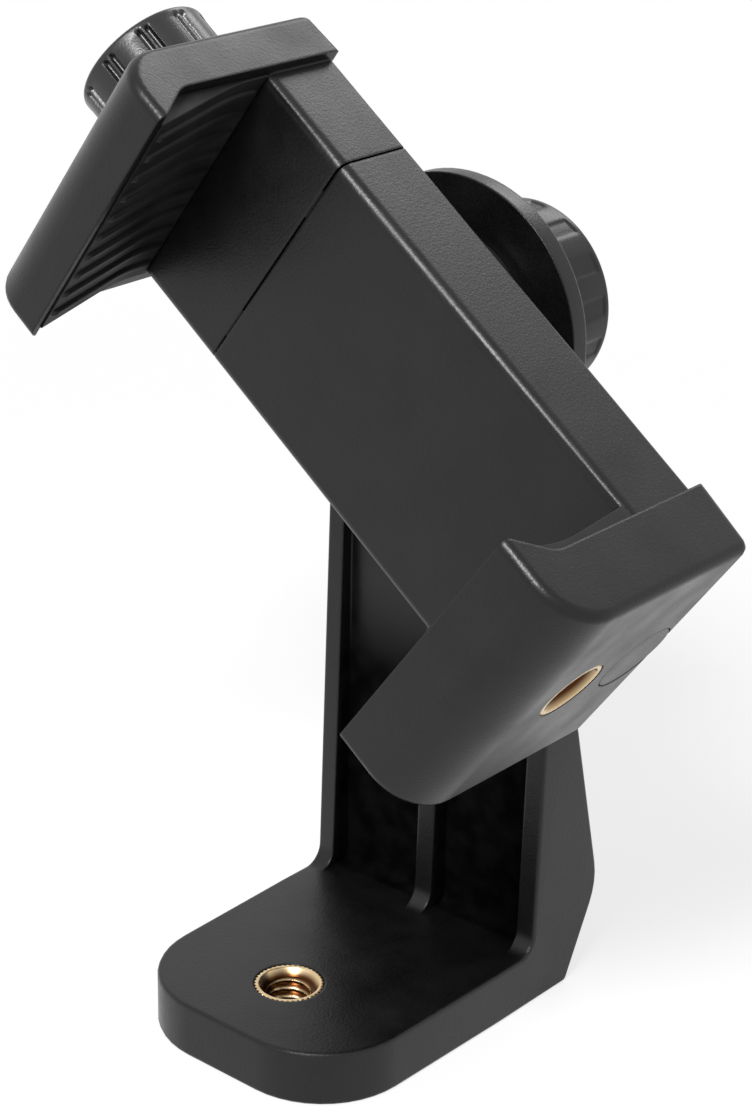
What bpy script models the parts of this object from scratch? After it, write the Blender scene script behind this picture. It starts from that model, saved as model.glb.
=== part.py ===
# Tripod phone mount adapter.
# An L-shaped moulded bracket carries a clamp that tilts on a bolt through the bracket's disc.
# A knob at the back locks the tilt, and a knob on the upper jaw opens and closes the clamp.
# X is the width of the foot, -Y is the side that faces the phone, +Z is up. Lengths are in metres.

import bmesh
import bpy
from math import acos, atan2, cos, degrees, hypot, pi, radians, sin, sqrt, tan
from mathutils import Vector

MM = 0.001

# Fits between pieces
SEAT_GAP = 0.06 * MM
RUNNING_GAP = 0.35 * MM
PRESS_GAP = 0.05 * MM

# Bracket foot
FOOT_THICKNESS = 7.45 * MM
FOOT_REACH = 12.75 * MM
FOOT_FRONT_WIDTH = 36.4 * MM
FOOT_CORNER_RADIUS = 12.6 * MM
BRACKET_EDGE_ROUND = 0.55 * MM

# Bracket upright
UPRIGHT_WIDTH = 37.7 * MM
UPRIGHT_FRONT = 26.3 * MM
UPRIGHT_FRONT_LEAN = 0.027
UPRIGHT_FOOT_FILLET = 2.7 * MM
SIDE_RIB_THICKNESS = 2.8 * MM
CENTRE_RIB_THICKNESS = 2.7 * MM
CHANNEL_DEPTH = 3.3 * MM
WEB_THICKNESS = 2.9 * MM
CHANNEL_FILLET = 1.3 * MM
HEEL_DEPTH = 8.0 * MM
HEEL_HEIGHT = 12.6 * MM
HEEL_ROUND = 9.0 * MM
HEEL_BASE_DEPTH = 1.7 * MM
HEEL_BASE_ROUND = 0.8 * MM
HEEL_TOP_HEIGHT = 46.0 * MM
HEEL_TOP_ROUND = 20.0 * MM

# Bracket disc
PIVOT_HEIGHT = 89.1 * MM
DISC_RADIUS = 18.75 * MM
DISC_CLEARANCE = 0.6 * MM

# Threaded brass inserts for a camera screw
INSERT_RADIUS = 4.5 * MM
INSERT_WALL = 1.45 * MM
INSERT_CHAMFER = 0.55 * MM
INSERT_DEPTH = 7.4 * MM
INSERT_SINK = 0.05 * MM
JAW_INSERT_REACH = 5.8 * MM

# Clamp tilt, measured from upright about the pivot
CLAMP_TILT = radians(53.5)

# Clamp body, in the clamp's own frame: X across, Y toward the bracket, Z along the clamp
BODY_WIDTH = 35.7 * MM
BODY_FRONT = 9.9 * MM
BODY_DEPTH = 11.85 * MM
BODY_WALL = 1.8 * MM
BODY_FRONT_ROUND = 1.5 * MM
BODY_BACK_ROUND = 0.7 * MM
SEAM_HEIGHT = 15.05 * MM
SEAM_GAP = 0.3 * MM
CAVITY_CLEARANCE = 2.5 * MM
CAVITY_CORNER = 0.6 * MM

# Jaws: each has its ledge, its thickness beyond the ledge and a hooked lip that rises from the ledge
JAW_SIDE_STEP = 1.5 * MM
JAW_REACH = 11.1 * MM
JAW_BACK_STEP = 0.25 * MM
JAW_SIDE_ROUND = 1.25 * MM
JAW_CORNER_MARGIN = 0.15 * MM
JAW_LIP = 1.05 * MM
JAW_LIP_RUN = 5.0 * MM
JAW_LIP_BLEND = 4.0 * MM
JAW_TRAVEL = 28.0 * MM
LOWER_JAW_LEDGE = -39.3 * MM
LOWER_JAW_THICKNESS = 9.45 * MM
LOWER_JAW_CORNER = 7.2 * MM
LOWER_LIP_RISE = 3.55 * MM
UPPER_JAW_LEDGE = 29.7 * MM
UPPER_JAW_THICKNESS = 6.45 * MM
UPPER_JAW_CORNER = 6.0 * MM
UPPER_LIP_RISE = 3.25 * MM

# Rubber pads: rises of the grip line above the jaw's ledge at the lip, in the valley and at the body
PAD_LIP_THICKNESS = 1.5 * MM
PAD_SINK = 0.6 * MM
PAD_TUCK = 0.4 * MM
PAD_BLEND = 18.0 * MM
LOWER_PAD_RISES = (3.0 * MM, 1.1 * MM, 2.1 * MM)
LOWER_PAD_VALLEY_RUN = 8.55 * MM
UPPER_PAD_RISES = (3.45 * MM, 0.25 * MM, 0.25 * MM)
UPPER_PAD_VALLEY_RUN = 15.2 * MM
PAD_RIB_COUNT = 10
PAD_RIB_MARGIN = 2.55 * MM
PAD_RIB_WIDTH = 0.9 * MM
PAD_RIB_RISE = 0.4 * MM
PAD_RIB_ROOT = 0.5 * MM
PAD_RIB_INSET = 0.7 * MM

# Guide legs of the upper jaw and the bridge between them
LEG_ENGAGEMENT = 13.0 * MM
LEG_SIDE_GAP = 0.5 * MM
BRIDGE_WIDTH = 11.6 * MM
BRIDGE_DROP = 2.7 * MM
BRIDGE_HEIGHT = 6.8 * MM
STOP_BUMP_WIDTH = 4.6 * MM
STOP_BUMP_RISE = 0.2 * MM
STOP_BUMP_SINK = 0.15 * MM

# Clamp screw and its knob
SCREW_OFFSET = 0.575 * MM
SCREW_RADIUS = 2.4 * MM
SCREW_TIP = 0.5 * MM
SCREW_SPARE = 4.8 * MM
SCREW_GROOVE = 0.4 * MM
SCREW_HEAD_ACROSS = 7.0 * MM
SCREW_HEAD_HEIGHT = 3.5 * MM
NUT_WALL = 1.0 * MM
NUT_LENGTH = 5.0 * MM
CLIP_WALL = 1.0 * MM
CLIP_THICKNESS = 0.8 * MM
CLIP_ROOF = 9.0 * MM
STOP_WALL = 0.35 * MM
STOP_THICKNESS = 1.0 * MM
JAW_WASHER_RADIUS = 6.0 * MM
JAW_WASHER_THICKNESS = 0.5 * MM
JAW_KNOB_RADIUS = 9.1 * MM
JAW_KNOB_HEIGHT = 12.0 * MM
JAW_KNOB_LOBES = 10
JAW_KNOB_GROUP = 14.0
JAW_KNOB_TURN = 1.0
JAW_KNOB_GROOVE = 0.45 * MM
JAW_KNOB_EDGE = 0.45 * MM
KNOB_RIM = 0.6 * MM
LOBE_CROWN = 0.15
GROOVE_SHAPE = (
    (0.00, LOBE_CROWN), (0.10, 1.0), (0.38, 1.0), (0.46, 0.25),
    (0.54, 0.25), (0.62, 1.0), (0.90, 1.0), (1.00, LOBE_CROWN),
)
CAP_RADIUS = 5.2 * MM
CAP_THICKNESS = 1.2 * MM
CAP_CHAMFER = 0.3 * MM
CAP_SINK = 0.05 * MM

# Plug that closes the assembly bore under the lower jaw
PLUG_OFFSET = 0.425 * MM
PLUG_RADIUS = 5.3 * MM
PLUG_THICKNESS = 1.6 * MM
PLUG_CHAMFER = 0.2 * MM
PLUG_SINK = 0.03 * MM
ASSEMBLY_CLEARANCE = 0.55 * MM

# Pivot
HUB_RADIUS = 12.5 * MM
HUB_EDGE = 0.6 * MM
FRICTION_STEP = 0.5 * MM
FRICTION_THICKNESS = 0.7 * MM
BOLT_RADIUS = 2.95 * MM
BOLT_CLEARANCE = 0.3 * MM
BOLT_HEAD_ACROSS = 10.0 * MM
BOLT_HEAD_HEIGHT = 4.0 * MM
BOLT_CHAMFER = 0.5 * MM
BOLT_SHORT = 2.3 * MM
HUB_SCREW_INSET = 3.9 * MM
HUB_SCREW_RADIUS = 1.25 * MM
HUB_SCREW_HEAD_RADIUS = 2.3 * MM
HUB_SCREW_HEAD_HEIGHT = 1.6 * MM
HUB_SCREW_SINK = 0.5 * MM
HUB_SCREW_BITE = 2.6 * MM
HUB_SCREW_BOSS = 1.5 * MM
HUB_SCREW_BOSS_RADIUS = 2.8 * MM
WASHER_RADIUS = 7.5 * MM
WASHER_THICKNESS = 1.0 * MM
TILT_KNOB_RADIUS = 12.5 * MM
TILT_KNOB_LENGTH = 11.9 * MM
TILT_KNOB_HUB_RADIUS = 8.6 * MM
TILT_KNOB_HUB = 1.4 * MM
TILT_KNOB_LOBES = 14
TILT_KNOB_GROUP = 11.5
TILT_KNOB_TURN = 6.2
TILT_KNOB_GROOVE = 0.25 * MM
TILT_KNOB_EDGE = 0.45 * MM
TILT_NUT_ACROSS = 10.0 * MM
TILT_NUT_HEIGHT = 5.0 * MM
TILT_NUT_SINK = 0.3 * MM
TILT_CAP_RADIUS = 5.0 * MM

# Cutters: how far they reach past a face, and the skin they leave where a cut would lie in a face
CLEAR = 4.0 * MM
SKIN = 0.02 * MM

# Places that follow from the sizes above
HALF_UPRIGHT = UPRIGHT_WIDTH / 2
DISC_FRONT = UPRIGHT_FRONT + CHANNEL_DEPTH
DISC_BACK = DISC_FRONT + WEB_THICKNESS
HEEL_BACK = DISC_BACK + HEEL_DEPTH
HEEL_BASE_BACK = DISC_BACK + HEEL_BASE_DEPTH
BRACKET_TOP = PIVOT_HEIGHT + DISC_RADIUS
INSERT_BORE_RADIUS = INSERT_RADIUS - INSERT_WALL
BODY_HALF = BODY_WIDTH / 2
BODY_BACK = BODY_FRONT + BODY_DEPTH
BODY_MIDDLE = BODY_FRONT + BODY_DEPTH / 2
BODY_INNER_FRONT = BODY_FRONT + BODY_WALL
BODY_INNER_BACK = BODY_BACK - BODY_WALL
BODY_TOP = SEAM_HEIGHT - SEAM_GAP / 2
SLIDER_BOTTOM = SEAM_HEIGHT + SEAM_GAP / 2
CAVITY_HALF = BODY_HALF - BODY_WALL
JAW_HALF = BODY_HALF + JAW_SIDE_STEP
JAW_BACK = BODY_BACK + JAW_BACK_STEP
JAW_BACK_CORNER = JAW_SIDE_ROUND + JAW_CORNER_MARGIN
LIP_BACK = -JAW_REACH + JAW_LIP
JAW_INSERT_Y = BODY_FRONT - JAW_INSERT_REACH
LOWER_JAW_BOTTOM = LOWER_JAW_LEDGE - LOWER_JAW_THICKNESS
UPPER_JAW_TOP = UPPER_JAW_LEDGE + UPPER_JAW_THICKNESS
PAD_RIB_PITCH = (BODY_WIDTH - 2 * PAD_RIB_MARGIN) / (PAD_RIB_COUNT - 1)
BRIDGE_HALF = BRIDGE_WIDTH / 2
BRIDGE_TOP = SEAM_HEIGHT - BRIDGE_DROP
BRIDGE_BOTTOM = BRIDGE_TOP - BRIDGE_HEIGHT
LEG_INNER = BRIDGE_HALF + LEG_SIDE_GAP
LEG_OUTER = CAVITY_HALF - LEG_SIDE_GAP
LEG_BOTTOM = SLIDER_BOTTOM - JAW_TRAVEL - LEG_ENGAGEMENT
SCREW_Y = BODY_MIDDLE - SCREW_OFFSET
SCREW_BOTTOM = BRIDGE_BOTTOM - JAW_TRAVEL - SCREW_SPARE - STOP_THICKNESS - SCREW_TIP
SCREW_CORE = SCREW_RADIUS - SCREW_GROOVE
NUT_RADIUS = SCREW_RADIUS + NUT_WALL
NUT_TOP = BRIDGE_TOP - SEAT_GAP
STOP_RADIUS = SCREW_RADIUS + STOP_WALL
CLIP_RADIUS = SCREW_RADIUS + CLIP_WALL
CLIP_CHAMBER_TOP = UPPER_JAW_TOP - CLIP_ROOF
CAVITY_BOTTOM = min(LEG_BOTTOM, SCREW_BOTTOM) - CAVITY_CLEARANCE
PLUG_Y = BODY_MIDDLE + PLUG_OFFSET
ASSEMBLY_BORE_RADIUS = STOP_RADIUS + ASSEMBLY_CLEARANCE
JAW_WASHER_BOTTOM = UPPER_JAW_TOP + SEAT_GAP
JAW_KNOB_BOTTOM = JAW_WASHER_BOTTOM + JAW_WASHER_THICKNESS + SEAT_GAP
JAW_KNOB_TOP = JAW_KNOB_BOTTOM + JAW_KNOB_HEIGHT
JAW_KNOB_FLOOR = JAW_KNOB_TOP - CAP_THICKNESS - SCREW_HEAD_HEIGHT - 4.0 * SEAT_GAP
BOLT_HOLE_RADIUS = BOLT_RADIUS + BOLT_CLEARANCE
FRICTION_RADIUS = HUB_RADIUS - FRICTION_STEP
FRICTION_BACK = DISC_FRONT - SEAT_GAP
FRICTION_FRONT = FRICTION_BACK - FRICTION_THICKNESS
HUB_BACK = FRICTION_FRONT - SEAT_GAP
HUB_FRONT = BODY_BACK + SEAT_GAP
HUB_SCREW_OFFSET = HUB_RADIUS - HUB_SCREW_INSET
WASHER_FRONT = DISC_BACK + SEAT_GAP
WASHER_BACK = WASHER_FRONT + WASHER_THICKNESS
TILT_KNOB_FRONT = WASHER_BACK + SEAT_GAP
TILT_KNOB_END = TILT_KNOB_FRONT + TILT_KNOB_LENGTH
BOLT_END = TILT_KNOB_END - BOLT_SHORT


# Scene set-up

for old in list(bpy.data.objects):
    bpy.data.objects.remove(old, do_unlink=True)

parts = bpy.data.collections.new("tripod_phone_mount_adapter")
tools = bpy.data.collections.new("cutting_tools")
bpy.context.scene.collection.children.link(parts)
bpy.context.scene.collection.children.link(tools)


def make_material(name, colour, roughness, metallic=0.0):
    mat = bpy.data.materials.new(name)
    mat.use_nodes = True
    shader = mat.node_tree.nodes["Principled BSDF"]
    shader.inputs["Base Color"].default_value = (*colour, 1.0)
    shader.inputs["Roughness"].default_value = roughness
    shader.inputs["Metallic"].default_value = metallic
    mat.diffuse_color = (*colour, 1.0)
    return mat


BLACK_MOULDING = make_material("black_moulding", (0.018, 0.018, 0.019), 0.42)
BLACK_KNOB = make_material("black_knob", (0.022, 0.022, 0.023), 0.36)
BLACK_RUBBER = make_material("black_rubber", (0.012, 0.012, 0.012), 0.62)
BRASS = make_material("brass", (0.78, 0.55, 0.24), 0.24, 1.0)
STEEL = make_material("zinc_plated_steel", (0.62, 0.63, 0.65), 0.3, 1.0)


def place(name, bm, material, parent=None, tool=False):
    """Turns a bmesh into an object in the parts or the cutting tools."""
    bmesh.ops.remove_doubles(bm, verts=bm.verts, dist=1e-7)
    bmesh.ops.recalc_face_normals(bm, faces=bm.faces)
    mesh = bpy.data.meshes.new(name)
    bm.to_mesh(mesh)
    bm.free()
    obj = bpy.data.objects.new(name, mesh)
    if material is not None:
        mesh.materials.append(material)
    if tool:
        tools.objects.link(obj)
        obj.hide_render = True
        obj.display_type = "WIRE"
    else:
        parts.objects.link(obj)
    if parent is not None:
        obj.parent = parent
    return obj


def empty(name, location=(0.0, 0.0, 0.0), rotation=(0.0, 0.0, 0.0), parent=None):
    """An empty that carries a moving group, with its origin on the joint's axis."""
    obj = bpy.data.objects.new(name, None)
    obj.empty_display_size = 0.01
    obj.location = location
    obj.rotation_euler = rotation
    obj.parent = parent
    parts.objects.link(obj)
    return obj


def rounded(corners, step=12.0):
    """Outline through corners (a, b, radius), each corner turned into an arc of that radius."""
    points = []
    count = len(corners)
    for i, (a, b, radius) in enumerate(corners):
        here = Vector((a, b))
        before = Vector(corners[i - 1][:2]) - here
        after = Vector(corners[(i + 1) % count][:2]) - here
        if radius <= 0.0:
            points.append((a, b))
            continue
        before.normalize()
        after.normalize()
        half = acos(max(-1.0, min(1.0, before.dot(after)))) / 2
        if half > pi / 2 - 1e-3:
            points.append((a, b))
            continue
        run = radius / tan(half)
        centre = here + (before + after).normalized() * radius / sin(half)
        start = here + before * run - centre
        finish = here + after * run - centre
        a0 = atan2(start.y, start.x)
        sweep = atan2(finish.y, finish.x) - a0
        sweep = (sweep + pi) % (2 * pi) - pi
        steps = max(2, round(abs(sweep) / radians(step)))
        for k in range(steps + 1):
            angle = a0 + sweep * k / steps
            points.append((centre.x + radius * cos(angle), centre.y + radius * sin(angle)))
    return points


def circle(radius, a=0.0, b=0.0, count=48, turn=0.0):
    return [
        (a + radius * cos(turn + 2 * pi * k / count), b + radius * sin(turn + 2 * pi * k / count))
        for k in range(count)
    ]


def hexagon(across, a=0.0, b=0.0):
    return circle(across / sqrt(3.0), a, b, 6, pi / 6)


def to_axis(axis, a, b, c):
    """Point from outline coordinates a, b and the distance c along the axis."""
    if axis == "X":
        return Vector((c, a, b))
    if axis == "Y":
        return Vector((a, c, b))
    return Vector((a, b, c))


def loft(bm, axis, rings):
    """Skins a closed solid through rings (outline, distance) with equal numbers of points."""
    loops = [[bm.verts.new(to_axis(axis, a, b, c)) for a, b in outline] for outline, c in rings]
    for low, high in zip(loops, loops[1:]):
        for k in range(len(low)):
            j = (k + 1) % len(low)
            bm.faces.new((low[k], low[j], high[j], high[k]))
    bm.faces.new(loops[0])
    bm.faces.new(loops[-1])


def prism(name, axis, outline, low, high, material=None, parent=None, tool=False):
    bm = bmesh.new()
    loft(bm, axis, [(outline, low), (outline, high)])
    return place(name, bm, material, parent, tool)


def turned(name, axis, a, b, profile, material=None, parent=None, tool=False, steps=48):
    """Revolves a profile of (radius, distance) about the axis through a, b."""
    bm = bmesh.new()
    verts = [bm.verts.new(to_axis(axis, a + r, b, c)) for r, c in profile]
    closed = profile[0][0] > 0.0 or profile[-1][0] > 0.0
    pairs = zip(verts, verts[1:] + verts[:1]) if closed else zip(verts, verts[1:])
    edges = [bm.edges.new(pair) for pair in pairs]
    bmesh.ops.spin(
        bm,
        geom=verts + edges,
        cent=to_axis(axis, a, b, 0.0),
        axis=to_axis(axis, 0.0, 0.0, 1.0),
        angle=2 * pi,
        steps=steps,
        use_merge=True,
    )
    return place(name, bm, material, parent, tool)


def combine(target, tool, operation="DIFFERENCE"):
    mod = target.modifiers.new(f"{operation.lower()}_{tool.name}", "BOOLEAN")
    mod.operation = operation
    mod.solver = "EXACT"
    mod.object = tool
    return mod


def round_edges(obj, width, segments=2, angle=35.0):
    mod = obj.modifiers.new("edge_round", "BEVEL")
    mod.width = width
    mod.segments = segments
    mod.limit_method = "ANGLE"
    mod.angle_limit = radians(angle)
    mod.miter_outer = "MITER_ARC" if segments > 1 else "MITER_SHARP"
    return mod


def round_marked(obj, width, segments, chosen):
    """Rounds only the edges for which chosen(start, end) is true."""
    attribute = obj.data.attributes.new("bevel_weight_edge", "FLOAT", "EDGE")
    for edge in obj.data.edges:
        start, end = (obj.data.vertices[i].co for i in edge.vertices)
        attribute.data[edge.index].value = 1.0 if chosen(start, end) else 0.0
    mod = obj.modifiers.new("edge_round", "BEVEL")
    mod.width = width
    mod.segments = segments
    mod.limit_method = "WEIGHT"
    return mod


# Bracket: one glass-filled nylon moulding with foot, ribbed upright and pivot disc.
# It is the overlap of its side profile, its front outline and its plan outline.

def rib_front(height):
    return UPRIGHT_FRONT + UPRIGHT_FRONT_LEAN * height


side_profile = rounded(
    [
        (-FOOT_REACH - CLEAR, 0.0, 0.0),
        (HEEL_BASE_BACK, 0.0, HEEL_BASE_ROUND),
        (HEEL_BACK, HEEL_HEIGHT, HEEL_ROUND),
        (DISC_BACK, HEEL_TOP_HEIGHT, HEEL_TOP_ROUND),
        (DISC_BACK, BRACKET_TOP + CLEAR, 0.0),
        (rib_front(BRACKET_TOP + CLEAR), BRACKET_TOP + CLEAR, 0.0),
        (rib_front(FOOT_THICKNESS), FOOT_THICKNESS, UPRIGHT_FOOT_FILLET),
        (-FOOT_REACH - CLEAR, FOOT_THICKNESS, 0.0),
    ],
    step=9.0,
)
bracket = prism("bracket", "X", side_profile, -UPRIGHT_WIDTH, UPRIGHT_WIDTH, BLACK_MOULDING)

drop = CLEAR
reach = hypot(HALF_UPRIGHT, PIVOT_HEIGHT + drop)
tangent = acos(min(1.0, DISC_RADIUS / reach)) - atan2(PIVOT_HEIGHT + drop, HALF_UPRIGHT)
arc = [
    (DISC_RADIUS * cos(t), PIVOT_HEIGHT + DISC_RADIUS * sin(t))
    for t in [tangent + (pi - 2 * tangent) * k / 44 for k in range(45)]
]
paddle = prism(
    "tool_front_outline", "Y",
    [(-HALF_UPRIGHT, -drop), (HALF_UPRIGHT, -drop)] + arc,
    -FOOT_REACH - 2 * CLEAR, HEEL_BACK + 2 * CLEAR, tool=True,
)
combine(bracket, paddle, "INTERSECT")

front_half = FOOT_FRONT_WIDTH / 2
spread = HALF_UPRIGHT - front_half
plan_back = HEEL_BACK + 3 * CLEAR
plan = prism(
    "tool_plan_outline", "Z",
    rounded(
        [
            (-front_half, -FOOT_REACH, FOOT_CORNER_RADIUS),
            (front_half, -FOOT_REACH, FOOT_CORNER_RADIUS),
            (front_half + 2.0 * spread, plan_back, 0.0),
            (-front_half - 2.0 * spread, plan_back, 0.0),
        ],
        step=8.0,
    ),
    -CLEAR, BRACKET_TOP + 2 * CLEAR, tool=True,
)
combine(bracket, plan, "INTERSECT")
round_edges(bracket, BRACKET_EDGE_ROUND, 2, 38.0)

# The insert's bore goes straight through the foot.
foot_bore = prism(
    "tool_foot_bore", "Z", circle(INSERT_RADIUS + PRESS_GAP), -CLEAR, FOOT_THICKNESS + CLEAR, tool=True,
)
combine(bracket, foot_bore)

# Two channels on the front and two pockets on the back leave the web between the ribs.
channel_in = CENTRE_RIB_THICKNESS / 2
channel_out = HALF_UPRIGHT - SIDE_RIB_THICKNESS
channel_floor = FOOT_THICKNESS + SKIN
clear_radius = DISC_RADIUS + DISC_CLEARANCE
channel_top = PIVOT_HEIGHT - sqrt(max(clear_radius**2 - channel_out**2, 0.0)) + DISC_CLEARANCE
front_channel = rounded(
    [
        (UPRIGHT_FRONT - 3 * CLEAR, channel_floor, 0.0),
        (DISC_FRONT, channel_floor, CHANNEL_FILLET),
        (DISC_FRONT, channel_top, 0.0),
        (UPRIGHT_FRONT - 3 * CLEAR, channel_top, 0.0),
    ],
    step=22.0,
)
back_pocket = rounded(
    [
        (DISC_BACK, channel_floor, CHANNEL_FILLET),
        (plan_back, channel_floor, 0.0),
        (plan_back, HEEL_TOP_HEIGHT + 2 * CLEAR, 0.0),
        (DISC_BACK + SKIN, HEEL_TOP_HEIGHT + 2 * CLEAR, 0.0),
    ],
    step=22.0,
)
for side, low, high in (("left", -channel_out, -channel_in), ("right", channel_in, channel_out)):
    combine(bracket, prism(f"tool_channel_{side}", "X", front_channel, low, high, tool=True))
    combine(bracket, prism(f"tool_pocket_{side}", "X", back_pocket, low, high, tool=True))

# The ribs stop around the disc, whose front face is flat, and the disc has the bolt hole.
disc_clearance = turned(
    "tool_disc_face", "Y", 0.0, PIVOT_HEIGHT,
    [
        (0.0, UPRIGHT_FRONT - 3 * CLEAR),
        (clear_radius, UPRIGHT_FRONT - 3 * CLEAR),
        (clear_radius, DISC_FRONT + SKIN),
        (0.0, DISC_FRONT + SKIN),
    ],
    tool=True, steps=64,
)
combine(bracket, disc_clearance)
bolt_hole = prism(
    "tool_bolt_hole", "Y", circle(BOLT_HOLE_RADIUS, 0.0, PIVOT_HEIGHT, 32),
    UPRIGHT_FRONT - 3 * CLEAR, plan_back, tool=True,
)
combine(bracket, bolt_hole)


# Foot insert: brass bush pressed through the foot, chamfered at both ends for a camera screw.

def insert_profile(low, high):
    return [
        (INSERT_BORE_RADIUS + INSERT_CHAMFER, high),
        (INSERT_RADIUS, high),
        (INSERT_RADIUS, low),
        (INSERT_BORE_RADIUS + INSERT_CHAMFER, low),
        (INSERT_BORE_RADIUS, low + INSERT_CHAMFER),
        (INSERT_BORE_RADIUS, high - INSERT_CHAMFER),
    ]


turned(
    "foot_insert", "Z", 0.0, 0.0, insert_profile(INSERT_SINK, FOOT_THICKNESS - INSERT_SINK), BRASS,
)


# Clamp frame: the empty sits on the pivot axis and leans the clamp as it stands in use.

clamp = empty("clamp_tilt", (0.0, 0.0, PIVOT_HEIGHT), (0.0, -CLAMP_TILT, 0.0))


def body_outline(inset=0.0):
    """Plan of the clamp body and of the sliding part above it."""
    w = BODY_HALF - inset
    front = BODY_FRONT + inset
    back = BODY_BACK - inset
    return rounded(
        [
            (-w, front, BODY_FRONT_ROUND),
            (w, front, BODY_FRONT_ROUND),
            (w, back, BODY_BACK_ROUND),
            (-w, back, BODY_BACK_ROUND),
        ],
        step=24.0,
    )


def jaw_block(name, sign, ledge, thickness, corner, material=None, tool=False):
    """Jaw blank with rounded outer corner and side edges; its inner side is cut afterwards."""
    inner = ledge - sign * 2 * JAW_LIP_RUN
    outer = ledge + sign * thickness
    outline = rounded(
        [
            (JAW_BACK, inner, 0.0),
            (JAW_BACK, outer, JAW_BACK_CORNER),
            (-JAW_REACH, outer, corner),
            (-JAW_REACH, inner, 0.0),
        ],
        step=10.0,
    )
    block = prism(name, "X", outline, -JAW_HALF, JAW_HALF, material, clamp, tool)
    round_marked(
        block, JAW_SIDE_ROUND, 3,
        lambda a, b: abs(abs(a.x) - JAW_HALF) < 1e-6
        and abs(a.x - b.x) < 1e-6
        and not (abs(a.z - inner) < 1e-6 and abs(b.z - inner) < 1e-6)
        and not (a.y > JAW_BACK - 1e-6 and b.y > JAW_BACK - 1e-6),
    )
    return block


def jaw_inner_cutter(name, sign, ledge, lip_rise):
    """Takes the jaw's inner side down to the ledge and leaves the hooked lip at the front."""
    far = ledge - sign * 3 * JAW_LIP_RUN
    tip = ledge - sign * lip_rise
    front = -JAW_REACH - JAW_LIP_RUN
    back = JAW_BACK + JAW_LIP_RUN
    outline = rounded(
        [
            (front, tip, 0.0),
            (LIP_BACK, tip, 0.0),
            (LIP_BACK + JAW_LIP_RUN, ledge, JAW_LIP_BLEND),
            (back, ledge, 0.0),
            (back, far, 0.0),
            (front, far, 0.0),
        ],
    )
    return prism(name, "X", outline, -JAW_HALF - JAW_LIP, JAW_HALF + JAW_LIP, None, clamp, True)


def pad_underside(sign, ledge, rises, gap):
    """Underside of a pad from the clamp body to the lip, sunk a little into the jaw's ledge."""
    sunk = ledge + sign * (PAD_SINK - gap)
    front = ledge - sign * rises[0]
    return [
        (BODY_FRONT + PAD_TUCK - gap, sunk, 0.0),
        (LIP_BACK + JAW_LIP_RUN, sunk, 0.0),
        (LIP_BACK + gap, front + sign * (PAD_LIP_THICKNESS - gap), 0.0),
    ]


def pad_recess(name, sign, ledge, rises):
    """Seat of a pad: its underside line, opened toward the phone."""
    outline = pad_underside(sign, ledge, rises, 0.0) + [
        (LIP_BACK, ledge - sign * (rises[0] + PAD_LIP_THICKNESS), 0.0),
        (BODY_FRONT + PAD_TUCK, ledge - sign * (rises[2] + PRESS_GAP), 0.0),
    ]
    return prism(name, "X", rounded(outline), -BODY_HALF, BODY_HALF, None, clamp, True)


def pad(name, sign, ledge, rises, valley_run, parent):
    """Rubber pad with raised ribs that run from the lip to the body."""
    front, valley, back = [ledge - sign * rise for rise in rises]
    valley_y = LIP_BACK + valley_run
    surface = [
        (LIP_BACK + PRESS_GAP, front, 0.0),
        (valley_y, valley, PAD_BLEND),
        (BODY_FRONT + PAD_TUCK - PRESS_GAP, back, 0.0),
    ]
    outline = rounded(surface + pad_underside(sign, ledge, rises, PRESS_GAP), step=2.2)
    w = BODY_HALF - PRESS_GAP
    body = prism(name, "X", outline, -w, w, BLACK_RUBBER, parent)
    start = front + (valley - front) / valley_run * PAD_RIB_INSET
    rise = sign * PAD_RIB_RISE
    root = sign * PAD_RIB_ROOT
    rib_line = rounded(
        [
            (LIP_BACK + PAD_RIB_INSET, start - rise, 0.0),
            (valley_y, valley - rise, PAD_BLEND),
            (BODY_FRONT - PAD_RIB_INSET, back - rise, 0.0),
            (BODY_FRONT - PAD_RIB_INSET, back + root, 0.0),
            (valley_y, valley + root, 0.0),
            (LIP_BACK + PAD_RIB_INSET, start + root, 0.0),
        ],
        step=2.2,
    )
    bm = bmesh.new()
    for k in range(PAD_RIB_COUNT):
        x = (k - (PAD_RIB_COUNT - 1) / 2) * PAD_RIB_PITCH
        loft(bm, "X", [(rib_line, x - PAD_RIB_WIDTH / 2), (rib_line, x + PAD_RIB_WIDTH / 2)])
    combine(body, place(f"tool_{name}_ribs", bm, None, parent, True), "UNION")
    return body


# Clamp body: moulded sleeve that ends in the lower jaw.
# A bridge across its cavity holds the screw's nut and leaves a guide channel at each side.


def box_outline(low_x, high_x, low_y, high_y, corner):
    return rounded(
        [
            (low_x, low_y, corner),
            (high_x, low_y, corner),
            (high_x, high_y, corner),
            (low_x, high_y, corner),
        ],
        step=30.0,
    )


lower_thickness = LOWER_JAW_THICKNESS
clamp_body = prism(
    "clamp_body", "Z", body_outline(), LOWER_JAW_LEDGE - lower_thickness / 2, BODY_TOP, BLACK_MOULDING, clamp,
)
lower_jaw = jaw_block(
    "tool_lower_jaw", -1, LOWER_JAW_LEDGE, lower_thickness, LOWER_JAW_CORNER, tool=True,
)
combine(lower_jaw, jaw_inner_cutter("tool_lower_jaw_inner", -1, LOWER_JAW_LEDGE, LOWER_LIP_RISE))
combine(clamp_body, lower_jaw, "UNION")
combine(clamp_body, pad_recess("tool_lower_pad_seat", -1, LOWER_JAW_LEDGE, LOWER_PAD_RISES))
cavity = prism(
    "tool_cavity", "Z",
    box_outline(-CAVITY_HALF, CAVITY_HALF, BODY_INNER_FRONT, BODY_INNER_BACK, CAVITY_CORNER),
    CAVITY_BOTTOM, BODY_TOP + CLEAR, None, clamp, True,
)
combine(clamp_body, cavity)
bite = BODY_WALL / 2
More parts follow.
